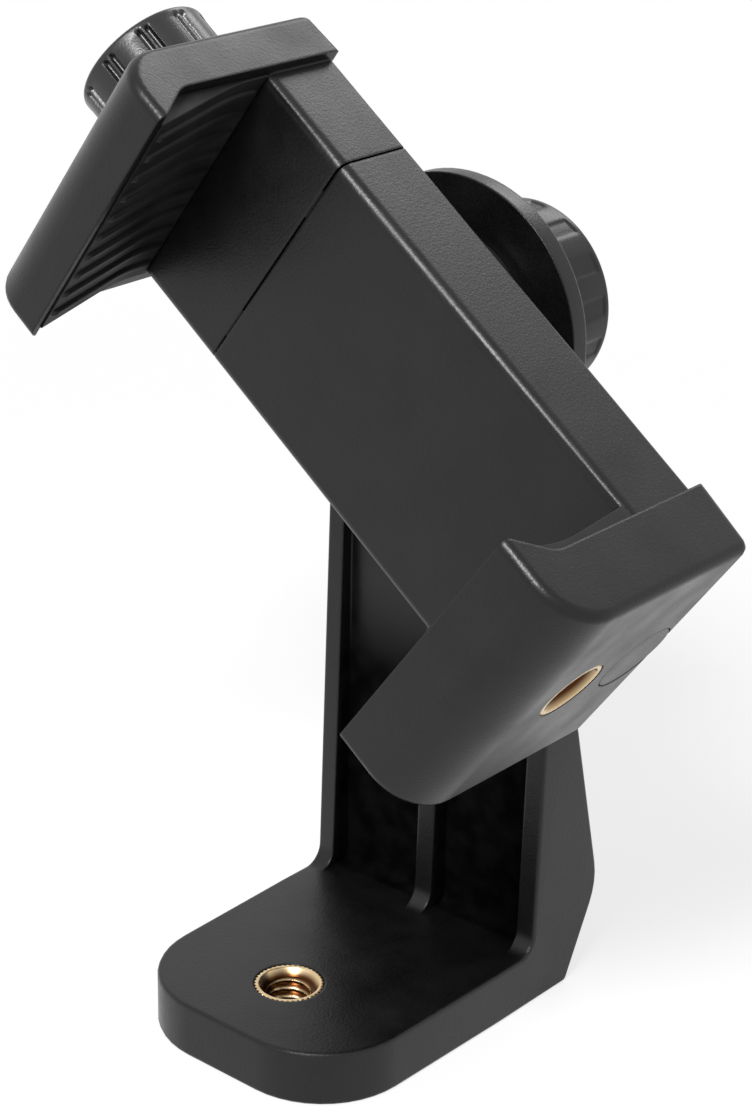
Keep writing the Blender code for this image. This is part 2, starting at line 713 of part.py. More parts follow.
bridge = prism(
    "tool_bridge", "Z",
    box_outline(-BRIDGE_HALF, BRIDGE_HALF, BODY_INNER_FRONT - bite, BODY_INNER_BACK + bite, 0.0),
    BRIDGE_BOTTOM, BRIDGE_TOP, None, clamp, True,
)
combine(clamp_body, bridge, "UNION")
screw_boss = prism(
    "tool_hub_screw_boss", "Y", circle(HUB_SCREW_BOSS_RADIUS, 0.0, -HUB_SCREW_OFFSET, 24),
    BODY_INNER_BACK - HUB_SCREW_BOSS, BODY_INNER_BACK + bite, None, clamp, True,
)
combine(clamp_body, screw_boss, "UNION")
nut_seat = NUT_TOP - NUT_LENGTH - PRESS_GAP
combine(
    clamp_body,
    turned(
        "tool_nut_bore", "Z", 0.0, SCREW_Y,
        [
            (0.0, BRIDGE_TOP + NUT_WALL),
            (NUT_RADIUS + PRESS_GAP, BRIDGE_TOP + NUT_WALL),
            (NUT_RADIUS + PRESS_GAP, nut_seat),
            (SCREW_RADIUS + RUNNING_GAP, nut_seat),
            (SCREW_RADIUS + RUNNING_GAP, BRIDGE_BOTTOM - NUT_WALL),
            (0.0, BRIDGE_BOTTOM - NUT_WALL),
        ],
        None, clamp, True, 32,
    ),
)
under = LOWER_JAW_BOTTOM - CLEAR
for name, radius, y, top, count in (
    ("tool_assembly_bore", ASSEMBLY_BORE_RADIUS, PLUG_Y, CAVITY_BOTTOM + CAVITY_CORNER, 32),
    ("tool_plug_seat", PLUG_RADIUS + PRESS_GAP, PLUG_Y, LOWER_JAW_BOTTOM + PLUG_THICKNESS + PRESS_GAP, 48),
    ("tool_jaw_insert_bore", INSERT_RADIUS + PRESS_GAP, JAW_INSERT_Y,
     LOWER_JAW_BOTTOM + INSERT_DEPTH + PRESS_GAP, 48),
):
    combine(clamp_body, prism(name, "Z", circle(radius, 0.0, y, count), under, top, None, clamp, True))
for label, z in (("upper", HUB_SCREW_OFFSET), ("lower", -HUB_SCREW_OFFSET)):
    combine(
        clamp_body,
        prism(
            f"tool_hub_screw_hole_{label}", "Y",
            circle(HUB_SCREW_RADIUS + PRESS_GAP, 0.0, z, 20),
            BODY_BACK - HUB_SCREW_BITE - 2 * PRESS_GAP, BODY_BACK + CLEAR, None, clamp, True,
        ),
    )

# Lower jaw fittings: ribbed pad, brass insert, bore plug and the nut of the clamp screw.

pad("lower_pad", -1, LOWER_JAW_LEDGE, LOWER_PAD_RISES, LOWER_PAD_VALLEY_RUN, clamp)
turned(
    "jaw_insert", "Z", 0.0, JAW_INSERT_Y,
    insert_profile(LOWER_JAW_BOTTOM + INSERT_SINK, LOWER_JAW_BOTTOM + INSERT_DEPTH), BRASS, clamp,
)
turned(
    "bore_plug", "Z", 0.0, PLUG_Y,
    [
        (0.0, LOWER_JAW_BOTTOM + PLUG_THICKNESS),
        (PLUG_RADIUS, LOWER_JAW_BOTTOM + PLUG_THICKNESS),
        (PLUG_RADIUS, LOWER_JAW_BOTTOM + PLUG_SINK + PLUG_CHAMFER),
        (PLUG_RADIUS - PLUG_CHAMFER, LOWER_JAW_BOTTOM + PLUG_SINK),
        (0.0, LOWER_JAW_BOTTOM + PLUG_SINK),
    ],
    BLACK_MOULDING, clamp,
)
turned(
    "clamp_nut", "Z", 0.0, SCREW_Y,
    [
        (SCREW_RADIUS + PRESS_GAP, NUT_TOP),
        (NUT_RADIUS, NUT_TOP),
        (NUT_RADIUS, NUT_TOP - NUT_LENGTH),
        (SCREW_RADIUS + PRESS_GAP, NUT_TOP - NUT_LENGTH),
    ],
    BRASS, clamp, steps=32,
)


# Upper jaw: slides out of the body on two guide legs and carries the clamp screw.

slide = empty("jaw_slide", parent=clamp)
upper_jaw = prism(
    "upper_jaw", "Z", body_outline(), SLIDER_BOTTOM, UPPER_JAW_LEDGE + UPPER_JAW_THICKNESS / 2,
    BLACK_MOULDING, slide,
)
upper_block = jaw_block(
    "tool_upper_jaw", 1, UPPER_JAW_LEDGE, UPPER_JAW_THICKNESS, UPPER_JAW_CORNER, tool=True,
)
combine(upper_block, jaw_inner_cutter("tool_upper_jaw_inner", 1, UPPER_JAW_LEDGE, UPPER_LIP_RISE))
combine(upper_jaw, upper_block, "UNION")
combine(upper_jaw, pad_recess("tool_upper_pad_seat", 1, UPPER_JAW_LEDGE, UPPER_PAD_RISES))
for side, sign in (("left", -1), ("right", 1)):
    low, high = sorted((sign * LEG_INNER, sign * LEG_OUTER))
    leg = prism(
        f"tool_leg_{side}", "Z",
        box_outline(low, high, BODY_INNER_FRONT + RUNNING_GAP, BODY_INNER_BACK - RUNNING_GAP, CAVITY_CORNER),
        LEG_BOTTOM, SLIDER_BOTTOM + bite, None, slide, True,
    )
    combine(upper_jaw, leg, "UNION")
    middle = (low + high) / 2
    bump = prism(
        f"tool_stop_bump_{side}", "Z",
        box_outline(
            middle - STOP_BUMP_WIDTH / 2, middle + STOP_BUMP_WIDTH / 2,
            BODY_FRONT + STOP_BUMP_SINK, BODY_INNER_FRONT - STOP_BUMP_SINK, 0.0,
        ),
        SLIDER_BOTTOM - STOP_BUMP_RISE, SLIDER_BOTTOM + bite, None, slide, True,
    )
    combine(upper_jaw, bump, "UNION")
combine(
    upper_jaw,
    prism(
        "tool_clip_chamber", "Z", circle(CLIP_RADIUS + RUNNING_GAP, 0.0, SCREW_Y, 32),
        SLIDER_BOTTOM - CLEAR, CLIP_CHAMBER_TOP, None, slide, True,
    ),
)
combine(
    upper_jaw,
    prism(
        "tool_screw_hole", "Z", circle(SCREW_RADIUS + RUNNING_GAP, 0.0, SCREW_Y, 32),
        SLIDER_BOTTOM - CLEAR, UPPER_JAW_TOP + CLEAR, None, slide, True,
    ),
)
pad("upper_pad", 1, UPPER_JAW_LEDGE, UPPER_PAD_RISES, UPPER_PAD_VALLEY_RUN, slide)
turned(
    "jaw_washer", "Z", 0.0, SCREW_Y,
    [
        (SCREW_RADIUS + RUNNING_GAP, JAW_WASHER_BOTTOM + JAW_WASHER_THICKNESS),
        (JAW_WASHER_RADIUS, JAW_WASHER_BOTTOM + JAW_WASHER_THICKNESS),
        (JAW_WASHER_RADIUS, JAW_WASHER_BOTTOM),
        (SCREW_RADIUS + RUNNING_GAP, JAW_WASHER_BOTTOM),
    ],
    STEEL, slide, steps=32,
)


def fluted(radius, lobes, group, turn, groove, steps=5):
    """Knob outline: smooth lobes parted by pairs of grooves with a thin ridge between them."""
    pitch = 360.0 / lobes
    lobe = pitch - group
    points = []
    for n in range(lobes):
        centre = turn + n * pitch
        start = centre - group / 2
        for share, depth in GROOVE_SHAPE:
            a = radians(start + group * share)
            r = radius - groove * depth
            points.append((r * cos(a), r * sin(a)))
        for k in range(1, steps):
            share = k / steps
            a = radians(centre + group / 2 + lobe * share)
            r = radius - LOBE_CROWN * groove * (2 * share - 1) ** 2
            points.append((r * cos(a), r * sin(a)))
    return points


def scaled(outline, factor, a=0.0, b=0.0):
    return [(a + x * factor, b + y * factor) for x, y in outline]


# Jaw knob: fluted moulding on the head of the clamp screw. Its group turns about the screw's axis.

knob_turn = empty("jaw_knob_turn", (0.0, SCREW_Y, 0.0), parent=slide)
knob_outline, knob_rim = [
    fluted(JAW_KNOB_RADIUS, JAW_KNOB_LOBES, JAW_KNOB_GROUP, JAW_KNOB_TURN, depth)
    for depth in (JAW_KNOB_GROOVE, 0.0)
]
bm = bmesh.new()
shrink = 1.0 - JAW_KNOB_EDGE / JAW_KNOB_RADIUS
loft(
    bm, "Z",
    [
        (scaled(knob_outline, shrink), JAW_KNOB_BOTTOM),
        (knob_outline, JAW_KNOB_BOTTOM + JAW_KNOB_EDGE),
        (knob_outline, JAW_KNOB_TOP - JAW_KNOB_EDGE - KNOB_RIM),
        (knob_rim, JAW_KNOB_TOP - JAW_KNOB_EDGE),
        (scaled(knob_rim, 0.7 + 0.3 * shrink), JAW_KNOB_TOP - 0.3 * JAW_KNOB_EDGE),
        (scaled(knob_rim, shrink), JAW_KNOB_TOP),
    ],
)
jaw_knob = place("jaw_knob", bm, BLACK_KNOB, knob_turn)
combine(
    jaw_knob,
    prism("tool_jaw_knob_bore", "Z", circle(SCREW_RADIUS + PRESS_GAP, count=32),
          JAW_KNOB_BOTTOM - CLEAR, JAW_KNOB_TOP + CLEAR, None, knob_turn, True),
)
combine(
    jaw_knob,
    prism("tool_jaw_knob_hex", "Z", hexagon(SCREW_HEAD_ACROSS + 2 * PRESS_GAP),
          JAW_KNOB_FLOOR, JAW_KNOB_TOP + CLEAR, None, knob_turn, True),
)
combine(
    jaw_knob,
    prism("tool_jaw_knob_cap_seat", "Z", circle(CAP_RADIUS + PRESS_GAP, count=32),
          JAW_KNOB_TOP - CAP_THICKNESS - SEAT_GAP, JAW_KNOB_TOP + CLEAR, None, knob_turn, True),
)


def cap_profile(radius, top):
    return [
        (0.0, top - CAP_SINK),
        (radius - CAP_CHAMFER, top - CAP_SINK),
        (radius, top - CAP_SINK - CAP_CHAMFER),
        (radius, top - CAP_THICKNESS),
        (0.0, top - CAP_THICKNESS),
    ]


turned(
    "jaw_knob_cap", "Z", 0.0, 0.0, cap_profile(CAP_RADIUS, JAW_KNOB_TOP), BLACK_KNOB, knob_turn, steps=32,
)

# Clamp screw: threaded rod with a hexagon head, a clip below the jaw and a stop at its end.

screw_head_bottom = JAW_KNOB_FLOOR + SEAT_GAP
clip_top = CLIP_CHAMBER_TOP - SEAT_GAP
stop_bottom = SCREW_BOTTOM + SCREW_TIP
stop_top = stop_bottom + STOP_THICKNESS
head_root = SCREW_HEAD_HEIGHT / 4
clamp_screw = turned(
    "clamp_screw", "Z", 0.0, 0.0,
    [
        (0.0, screw_head_bottom + head_root),
        (SCREW_RADIUS, screw_head_bottom + head_root),
        (SCREW_RADIUS, clip_top + PRESS_GAP),
        (SCREW_CORE, clip_top + PRESS_GAP),
        (SCREW_CORE, clip_top - CLIP_THICKNESS - PRESS_GAP),
        (SCREW_RADIUS, clip_top - CLIP_THICKNESS - PRESS_GAP),
        (SCREW_RADIUS, stop_top + PRESS_GAP),
        (SCREW_CORE, stop_top + PRESS_GAP),
        (SCREW_CORE, SCREW_BOTTOM + SCREW_TIP / 2),
        (SCREW_CORE - SCREW_TIP / 2, SCREW_BOTTOM),
        (0.0, SCREW_BOTTOM),
    ],
    STEEL, knob_turn, steps=32,
)
screw_head = prism(
    "tool_screw_head", "Z", hexagon(SCREW_HEAD_ACROSS),
    screw_head_bottom, screw_head_bottom + SCREW_HEAD_HEIGHT, None, knob_turn, True,
)
combine(clamp_screw, screw_head, "UNION")
turned(
    "screw_clip", "Z", 0.0, 0.0,
    [
        (SCREW_CORE + PRESS_GAP, clip_top),
        (CLIP_RADIUS, clip_top),
        (CLIP_RADIUS, clip_top - CLIP_THICKNESS),
        (SCREW_CORE + PRESS_GAP, clip_top - CLIP_THICKNESS),
    ],
    STEEL, knob_turn, steps=32,
)
turned(
    "screw_stop", "Z", 0.0, 0.0,
    [
        (SCREW_CORE + PRESS_GAP, stop_top),
        (STOP_RADIUS, stop_top),
        (STOP_RADIUS, stop_bottom),
        (SCREW_CORE + PRESS_GAP, stop_bottom),
    ],
    STEEL, knob_turn, steps=32,
)


# Pivot hub: round boss screwed to the clamp's back that traps the bolt's head.

pivot_hub = turned(
    "pivot_hub", "Y", 0.0, 0.0,
    [
        (0.0, HUB_FRONT),
        (HUB_RADIUS, HUB_FRONT),
        (HUB_RADIUS, HUB_BACK - HUB_EDGE),
        (HUB_RADIUS - HUB_EDGE, HUB_BACK),
        (0.0, HUB_BACK),
    ],
    BLACK_MOULDING, clamp,
)
bolt_head_front = HUB_FRONT + SEAT_GAP
bolt_head_back = bolt_head_front + BOLT_HEAD_HEIGHT
combine(
    pivot_hub,
    prism("tool_bolt_head_seat", "Y", hexagon(BOLT_HEAD_ACROSS + 4 * PRESS_GAP),
          HUB_FRONT - CLEAR, bolt_head_back + SEAT_GAP, None, clamp, True),
)
combine(
    pivot_hub,
    prism("tool_hub_bolt_hole", "Y", circle(BOLT_RADIUS + PRESS_GAP, count=32),
          HUB_FRONT - CLEAR, HUB_BACK + CLEAR, None, clamp, True),
)
head_seat = HUB_BACK - HUB_SCREW_SINK - HUB_SCREW_HEAD_HEIGHT
for label, z in (("upper", HUB_SCREW_OFFSET), ("lower", -HUB_SCREW_OFFSET)):
    combine(
        pivot_hub,
        turned(
            f"tool_hub_screw_seat_{label}", "Y", 0.0, z,
            [
                (0.0, HUB_BACK + CLEAR),
                (HUB_SCREW_HEAD_RADIUS + 3 * PRESS_GAP, HUB_BACK + CLEAR),
                (HUB_SCREW_HEAD_RADIUS + 3 * PRESS_GAP, head_seat),
                (HUB_SCREW_RADIUS + 2 * PRESS_GAP, head_seat),
                (HUB_SCREW_RADIUS + 2 * PRESS_GAP, HUB_FRONT - CLEAR),
                (0.0, HUB_FRONT - CLEAR),
            ],
            None, clamp, True, 24,
        ),
    )

# Hub screws: two tapping screws that hold the hub on the clamp body.

for label, z in (("upper", HUB_SCREW_OFFSET), ("lower", -HUB_SCREW_OFFSET)):
    shank_low = BODY_BACK - HUB_SCREW_BITE
    seat = head_seat + SEAT_GAP
    turned(
        f"hub_screw_{label}", "Y", 0.0, z,
        [
            (0.0, shank_low),
            (HUB_SCREW_RADIUS * 0.4, shank_low),
            (HUB_SCREW_RADIUS, shank_low + HUB_SCREW_RADIUS * 0.7),
            (HUB_SCREW_RADIUS, seat),
            (HUB_SCREW_HEAD_RADIUS, seat),
            (HUB_SCREW_HEAD_RADIUS, seat + HUB_SCREW_HEAD_HEIGHT * 0.6),
            (HUB_SCREW_HEAD_RADIUS * 0.8, seat + HUB_SCREW_HEAD_HEIGHT),
            (0.0, seat + HUB_SCREW_HEAD_HEIGHT),
        ],
        STEEL, clamp, steps=20,
    )

# Pivot bolt: its hexagon head sits in the hub and its thread takes the tilt knob.

pivot_bolt = turned(
    "pivot_bolt", "Y", 0.0, 0.0,
    [
        (0.0, BOLT_END),
        (BOLT_RADIUS - BOLT_CHAMFER, BOLT_END),
        (BOLT_RADIUS, BOLT_END - BOLT_CHAMFER),
        (BOLT_RADIUS, bolt_head_back - BOLT_CHAMFER),
        (0.0, bolt_head_back - BOLT_CHAMFER),
    ],
    STEEL, clamp, steps=32,
)
bolt_head = prism(
    "tool_bolt_head", "Y", hexagon(BOLT_HEAD_ACROSS), bolt_head_front, bolt_head_back, None, clamp, True,
)
combine(pivot_bolt, bolt_head, "UNION")

# Friction ring between the hub and the bracket's disc.

turned(
    "friction_ring", "Y", 0.0, 0.0,
    [
        (BOLT_HOLE_RADIUS + BOLT_CLEARANCE, FRICTION_BACK),
        (FRICTION_RADIUS, FRICTION_BACK),
        (FRICTION_RADIUS, FRICTION_FRONT),
        (BOLT_HOLE_RADIUS + BOLT_CLEARANCE, FRICTION_FRONT),
    ],
    BLACK_RUBBER, clamp,
)


# Tilt knob group: the washer backs away from the disc as the knob unscrews along the bolt.

knob_back_off = empty("tilt_washer_slide", parent=clamp)
turned(
    "tilt_washer", "Y", 0.0, 0.0,
    [
        (BOLT_HOLE_RADIUS, WASHER_BACK),
        (WASHER_RADIUS, WASHER_BACK),
        (WASHER_RADIUS, WASHER_FRONT),
        (BOLT_HOLE_RADIUS, WASHER_FRONT),
    ],
    STEEL, knob_back_off, steps=40,
)
tilt_turn = empty("tilt_knob_turn", parent=knob_back_off)
tilt_outline, tilt_rim = [
    fluted(
        TILT_KNOB_RADIUS, TILT_KNOB_LOBES, TILT_KNOB_GROUP, TILT_KNOB_TURN - degrees(CLAMP_TILT), depth, 4,
    )
    for depth in (TILT_KNOB_GROOVE, 0.0)
]
grip_front = TILT_KNOB_FRONT + TILT_KNOB_HUB
bm = bmesh.new()
count = len(tilt_outline)
hub_ring = [
    (TILT_KNOB_HUB_RADIUS * cos(atan2(y, x)), TILT_KNOB_HUB_RADIUS * sin(atan2(y, x)))
    for x, y in tilt_outline
]
edge_factor = 1.0 - TILT_KNOB_EDGE / TILT_KNOB_RADIUS
loft(
    bm, "Y",
    [
        (hub_ring, TILT_KNOB_FRONT),
        (hub_ring, grip_front),
        (scaled(tilt_outline, edge_factor), grip_front),
        (tilt_outline, grip_front + TILT_KNOB_EDGE),
        (tilt_outline, TILT_KNOB_END - TILT_KNOB_EDGE - KNOB_RIM),
        (tilt_rim, TILT_KNOB_END - TILT_KNOB_EDGE),
        (scaled(tilt_rim, 0.7 + 0.3 * edge_factor), TILT_KNOB_END - 0.3 * TILT_KNOB_EDGE),
        (scaled(tilt_rim, edge_factor), TILT_KNOB_END),
    ],
)
tilt_knob = place("tilt_knob", bm, BLACK_KNOB, tilt_turn)
nut_front = TILT_KNOB_FRONT + TILT_NUT_SINK
combine(
    tilt_knob,
    prism("tool_tilt_knob_nut_seat", "Y", hexagon(TILT_NUT_ACROSS + 2 * PRESS_GAP),
          TILT_KNOB_FRONT - CLEAR, nut_front + TILT_NUT_HEIGHT + PRESS_GAP, None, tilt_turn, True),
)
combine(
    tilt_knob,
    prism("tool_tilt_knob_bore", "Y", circle(BOLT_HOLE_RADIUS, count=32),
          TILT_KNOB_FRONT - CLEAR, BOLT_END + 2 * BOLT_CLEARANCE, None, tilt_turn, True),
)
tilt_nut = prism(
    "tilt_nut", "Y", hexagon(TILT_NUT_ACROSS), nut_front, nut_front + TILT_NUT_HEIGHT, BRASS, tilt_turn,
)
combine(
    tilt_nut,
    prism("tool_tilt_nut_bore", "Y", circle(BOLT_RADIUS + PRESS_GAP, count=32),
          nut_front - CLEAR, nut_front + TILT_NUT_HEIGHT + CLEAR, None, tilt_turn, True),
)
cap_seat = TILT_KNOB_END - CAP_THICKNESS
combine(
    tilt_knob,
    prism("tool_tilt_cap_seat", "Y", circle(TILT_CAP_RADIUS + PRESS_GAP, count=32),
          cap_seat - SEAT_GAP, TILT_KNOB_END + CLEAR, None, tilt_turn, True),
)
turned(
    "tilt_knob_cap", "Y", 0.0, 0.0, cap_profile(TILT_CAP_RADIUS, TILT_KNOB_END), BLACK_KNOB, tilt_turn,
    steps=32,
)
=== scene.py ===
import math

import bpy
import numpy as np
from mathutils import Matrix, Vector


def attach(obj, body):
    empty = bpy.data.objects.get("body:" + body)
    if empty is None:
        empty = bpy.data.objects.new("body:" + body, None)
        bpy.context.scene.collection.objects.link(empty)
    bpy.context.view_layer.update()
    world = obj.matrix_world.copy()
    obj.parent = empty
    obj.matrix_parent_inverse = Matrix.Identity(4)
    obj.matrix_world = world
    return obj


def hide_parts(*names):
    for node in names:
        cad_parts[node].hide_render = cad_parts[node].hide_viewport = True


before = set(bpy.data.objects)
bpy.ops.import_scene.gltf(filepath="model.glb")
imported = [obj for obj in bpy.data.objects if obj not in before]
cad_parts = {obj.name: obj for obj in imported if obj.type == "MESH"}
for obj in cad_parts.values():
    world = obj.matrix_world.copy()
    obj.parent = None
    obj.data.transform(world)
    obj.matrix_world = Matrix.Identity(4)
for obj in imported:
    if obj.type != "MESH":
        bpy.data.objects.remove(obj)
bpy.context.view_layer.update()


# Studio
# A pale floor under a white surround, with a broad soft lamp above the front of the adapter and a second
# one behind it. The floor keeps the adapter's soft shadow and turns white away from it. The camera looks
# down on the adapter from its front right.

class Wire:
    """A socket in a finish. Operators on wires and numbers add Math nodes."""

    def __init__(self, tree, socket=None):
        self.tree = tree
        self.socket = socket

    def node(self, kind, settings, sockets, output=0):
        """Adds a node of this kind: its settings first, then the values or wires of its sockets. Gives
        the wire of one output, or nothing where output is None."""
        made = self.tree.nodes.new("ShaderNode" + kind)
        for name, value in settings.items():
            setattr(made, name, value)
        for name, value in sockets.items():
            if isinstance(value, Wire):
                self.tree.links.new(value.socket, made.inputs[name])
            else:
                made.inputs[name].default_value = value
        return Wire(self.tree, made.outputs[output]) if output is not None else None

    def maths(self, operation, first, second=0.0):
        """Adds a Math node."""
        return self.node("Math", {"operation": operation}, {0: first, 1: second})

    def __add__(self, other):
        return self.maths("ADD", self, other)

    __radd__ = __add__

    def __sub__(self, other):
        return self.maths("SUBTRACT", self, other)

    def __rsub__(self, other):
        return self.maths("SUBTRACT", other, self)

    def __mul__(self, other):
        return self.maths("MULTIPLY", self, other)

    __rmul__ = __mul__

    def __abs__(self):
        return self.maths("ABSOLUTE", self)

    def __or__(self, other):
        """The larger of two masks."""
        return self.maths("MAXIMUM", self, other)

    def climb(self, low, high):
        """Smooth climb from 0 to 1 as this value goes from low to high."""
        return self.node(
            "MapRange", {"interpolation_type": "SMOOTHSTEP"},
            {"Value": self, "From Min": low, "From Max": high},
        )

    def blend(self, first, second):
        """Colour between first and second, by this value."""
        return self.node("Mix", {"data_type": "RGBA"}, {0: self, 6: first, 7: second}, 2)


def grey(value):
    return (value, value, value, 1.0)


scene = bpy.context.scene
scene.view_settings.view_transform = "Standard"

SURROUND_LIGHT = 0.36
scene.world = bpy.data.worlds.new("white_surround")
scene.world.use_nodes = True
scene.world.node_tree.nodes.clear()
sky = Wire(scene.world.node_tree)
shown_white = (
    sky.node("LightPath", {}, {}, "Is Camera Ray")
    | sky.node("LightPath", {}, {}, "Is Glossy Ray")
    | sky.node("LightPath", {}, {}, "Is Transmission Ray")
)
surround = sky.node(
    "Background", {},
    {"Color": grey(1.0), "Strength": SURROUND_LIGHT + (1.0 - SURROUND_LIGHT) * shown_white},
)
sky.node("OutputWorld", {}, {"Surface": surround}, None)

FLOOR_REACH = 1.6
floor_mesh = bpy.data.meshes.new("floor")
floor_mesh.from_pydata(
    [(x * FLOOR_REACH, y * FLOOR_REACH, 0.0) for x, y in ((-1, -1), (1, -1), (1, 1), (-1, 1))],
    [], [(0, 1, 2, 3)],
)
floor = bpy.data.objects.new("floor", floor_mesh)
scene.collection.objects.link(floor)
floor_paint = bpy.data.materials.new("white_floor")
floor_paint.use_nodes = True
floor_paint.node_tree.nodes.clear()
ground = Wire(floor_paint.node_tree)
away = ground.node(
    "VectorMath", {"operation": "LENGTH"}, {0: ground.node("TexCoord", {}, {}, "Object")}, "Value",
)
matt = ground.node(
    "BsdfPrincipled", {}, {"Base Color": grey(0.93), "Roughness": 0.9, "Specular IOR Level": 0.1},
)
glow = ground.node("Emission", {}, {"Color": grey(1.0), "Strength": 1.0})
SEEN_UNDERFOOT = 0.7
MIRRORED_UNDERFOOT = 0.3
seen = ground.node("LightPath", {}, {}, "Is Camera Ray") * (
    SEEN_UNDERFOOT + (1.0 - SEEN_UNDERFOOT) * away.climb(0.10, 0.40)
)
mirrored = ground.node("LightPath", {}, {}, "Is Glossy Ray") * (
    MIRRORED_UNDERFOOT + (1.0 - MIRRORED_UNDERFOOT) * away.climb(0.03, 0.08)
)
ground.node(
    "OutputMaterial", {},
    {"Surface": ground.node("MixShader", {}, {0: seen | mirrored, 1: matt, 2: glow})}, None,
)
floor_mesh.materials.append(floor_paint)

AIM = Vector((0.0, 0.016, 0.062))
for name, direction, distance, size, watts in (
    ("front_softbox", (0.22, -0.66, 0.72), 0.75, 0.20, 6.5),
    ("back_softbox", (-0.16, 0.70, 0.72), 0.85, 0.36, 1.8),
):
    lamp = bpy.data.lights.new(name, "AREA")
    lamp.size = size
    lamp.energy = watts
    stand = bpy.data.objects.new(name, lamp)
    toward = Vector(direction).normalized()
    stand.location = AIM + toward * distance
    stand.rotation_euler = toward.to_track_quat("Z", "Y").to_euler()
    scene.collection.objects.link(stand)

CAMERA_PLACE = (0.204360, -0.224763, 0.194810)
CAMERA_RIGHT = (0.75765, 0.65247, 0.01552)
CAMERA_DOWN = (0.26429, -0.28498, -0.92138)
CAMERA_AHEAD = (-0.59675, 0.70219, -0.38836)
camera = bpy.data.cameras.new("camera")
camera.lens = 89.211
camera.sensor_width = 36.0
camera.clip_start = 0.01
camera_stand = bpy.data.objects.new("camera", camera)
camera_stand.matrix_world = Matrix.Translation(CAMERA_PLACE) @ Matrix(
    (CAMERA_RIGHT, [-x for x in CAMERA_DOWN], [-x for x in CAMERA_AHEAD])
).transposed().to_4x4()
scene.collection.objects.link(camera_stand)
scene.camera = camera_stand


# Bracket
# The L of foot, ribbed upright and disc is one moulding in black glass-filled nylon. Its mould was
# spark-eroded, which leaves a fine even grain with a dull sheen, brighter along the rounded edges. The
# lower web between the front ribs is painted with shade: near black and without sheen, fading half way up.

def finish(name, paint, second=None, where=None):
    """A material whose Principled sockets are what paint gives: values, or wires where they vary. The
    mask that where gives, if any, mixes in a second paint."""
    material = bpy.data.materials.new(name)
    material.use_nodes = True
    material.node_tree.nodes.clear()
    start = Wire(material.node_tree)
    shader = start.node("BsdfPrincipled", {}, paint(start))
    if second:
        over = start.node("BsdfPrincipled", {}, second(start))
        shader = start.node("MixShader", {}, {0: where(start), 1: shader, 2: over})
    start.node("OutputMaterial", {}, {"Surface": shader}, None)
    return material


def eroded(dark, pale, rough, grain_cell, grain_height, edge, gloss):
    """Paint of a moulding from a spark-eroded mould: cloudy tone, pitted grain and softened edges."""
    def paint(start):
        place = start.node("TexCoord", {}, {}, "Object")
        cloud = start.node("TexNoise", {}, {"Vector": place, "Scale": 150.0, "Detail": 6.0})
        grain = start.node(
            "TexNoise", {}, {"Vector": place, "Scale": 1 / grain_cell, "Detail": 3.0, "Roughness": 0.6}
        )
        pits = start.node("TexVoronoi", {}, {"Vector": place, "Scale": 0.9 / grain_cell}, "Distance")
        height = grain + 0.6 * pits
        soft = start.node("Bevel", {"samples": 6}, {"Radius": edge})
        tone = (0.45 * cloud + 0.55 * grain).climb(0.3, 0.7)
        return {
            "Base Color": tone.blend(grey(dark), grey(pale)),
            "Roughness": rough + 0.28 * (cloud - 0.5) + 0.10 * (grain - 0.5),
            "Specular IOR Level": gloss,
            "Normal": start.node(
                "Bump", {}, {"Strength": 0.6, "Distance": grain_height, "Height": height, "Normal": soft},
            ),
        }
    return paint


def web_shade_paint(start):
    """Painted shade for the lower web: cloudy near-black without any gloss."""
    place = start.node("TexCoord", {}, {}, "Object")
    shade_mottle = start.node("TexNoise", {}, {"Vector": place, "Scale": 300.0, "Detail": 4.0})
    return {
        "Base Color": shade_mottle.climb(0.3, 0.7).blend(grey(0.0015), grey(0.004)),
        "Roughness": 0.75 + 0.2 * shade_mottle,
        "Specular IOR Level": 0.0,
    }


RIB_LEAN = 0.027


def web_shade_mask(start):
    """Mask of the painted shade: 1 on the front of the web, between the ribs and down to the foot. It fades
    out half way up.
    """
    place = start.node("TexCoord", {}, {}, "Object")
    x, y, z = (start.node("SeparateXYZ", {}, {0: place}, axis) for axis in "XYZ")
    behind_ribs = (y - RIB_LEAN * z).climb(0.0266, 0.0276)
    on_front = 1 - y.climb(0.0302, 0.0310)
    between_ribs = 1 - abs(x).climb(0.0162, 0.0166)
    low = z.climb(0.0070, 0.0074) * (1 - z.climb(0.036, 0.052))
    return behind_ribs * on_front * between_ribs * low


rounds = bpy.data.node_groups.new("rounds_by_angle", "GeometryNodeTree")
rounds.is_modifier = True
rounds.interface.new_socket("Geometry", in_out="INPUT", socket_type="NodeSocketGeometry")
rounds.interface.new_socket("Geometry", in_out="OUTPUT", socket_type="NodeSocketGeometry")
came_in = rounds.nodes.new("NodeGroupInput")
fold = rounds.nodes.new("GeometryNodeInputMeshEdgeAngle")
steep = rounds.nodes.new("FunctionNodeCompare")
SHARP_ANGLE = math.radians(38.0)
steep.inputs[1].default_value = SHARP_ANGLE
all_smooth = rounds.nodes.new("GeometryNodeSetShadeSmooth")
keep_sharp = rounds.nodes.new("GeometryNodeSetShadeSmooth")
keep_sharp.domain = "EDGE"
keep_sharp.inputs["Shade Smooth"].default_value = False
went_out = rounds.nodes.new("NodeGroupOutput")
rounds.links.new(came_in.outputs[0], all_smooth.inputs[0])
rounds.links.new(all_smooth.outputs[0], keep_sharp.inputs[0])
rounds.links.new(fold.outputs["Unsigned Angle"], steep.inputs[0])
rounds.links.new(steep.outputs[0], keep_sharp.inputs["Selection"])
rounds.links.new(keep_sharp.outputs[0], went_out.inputs[0])


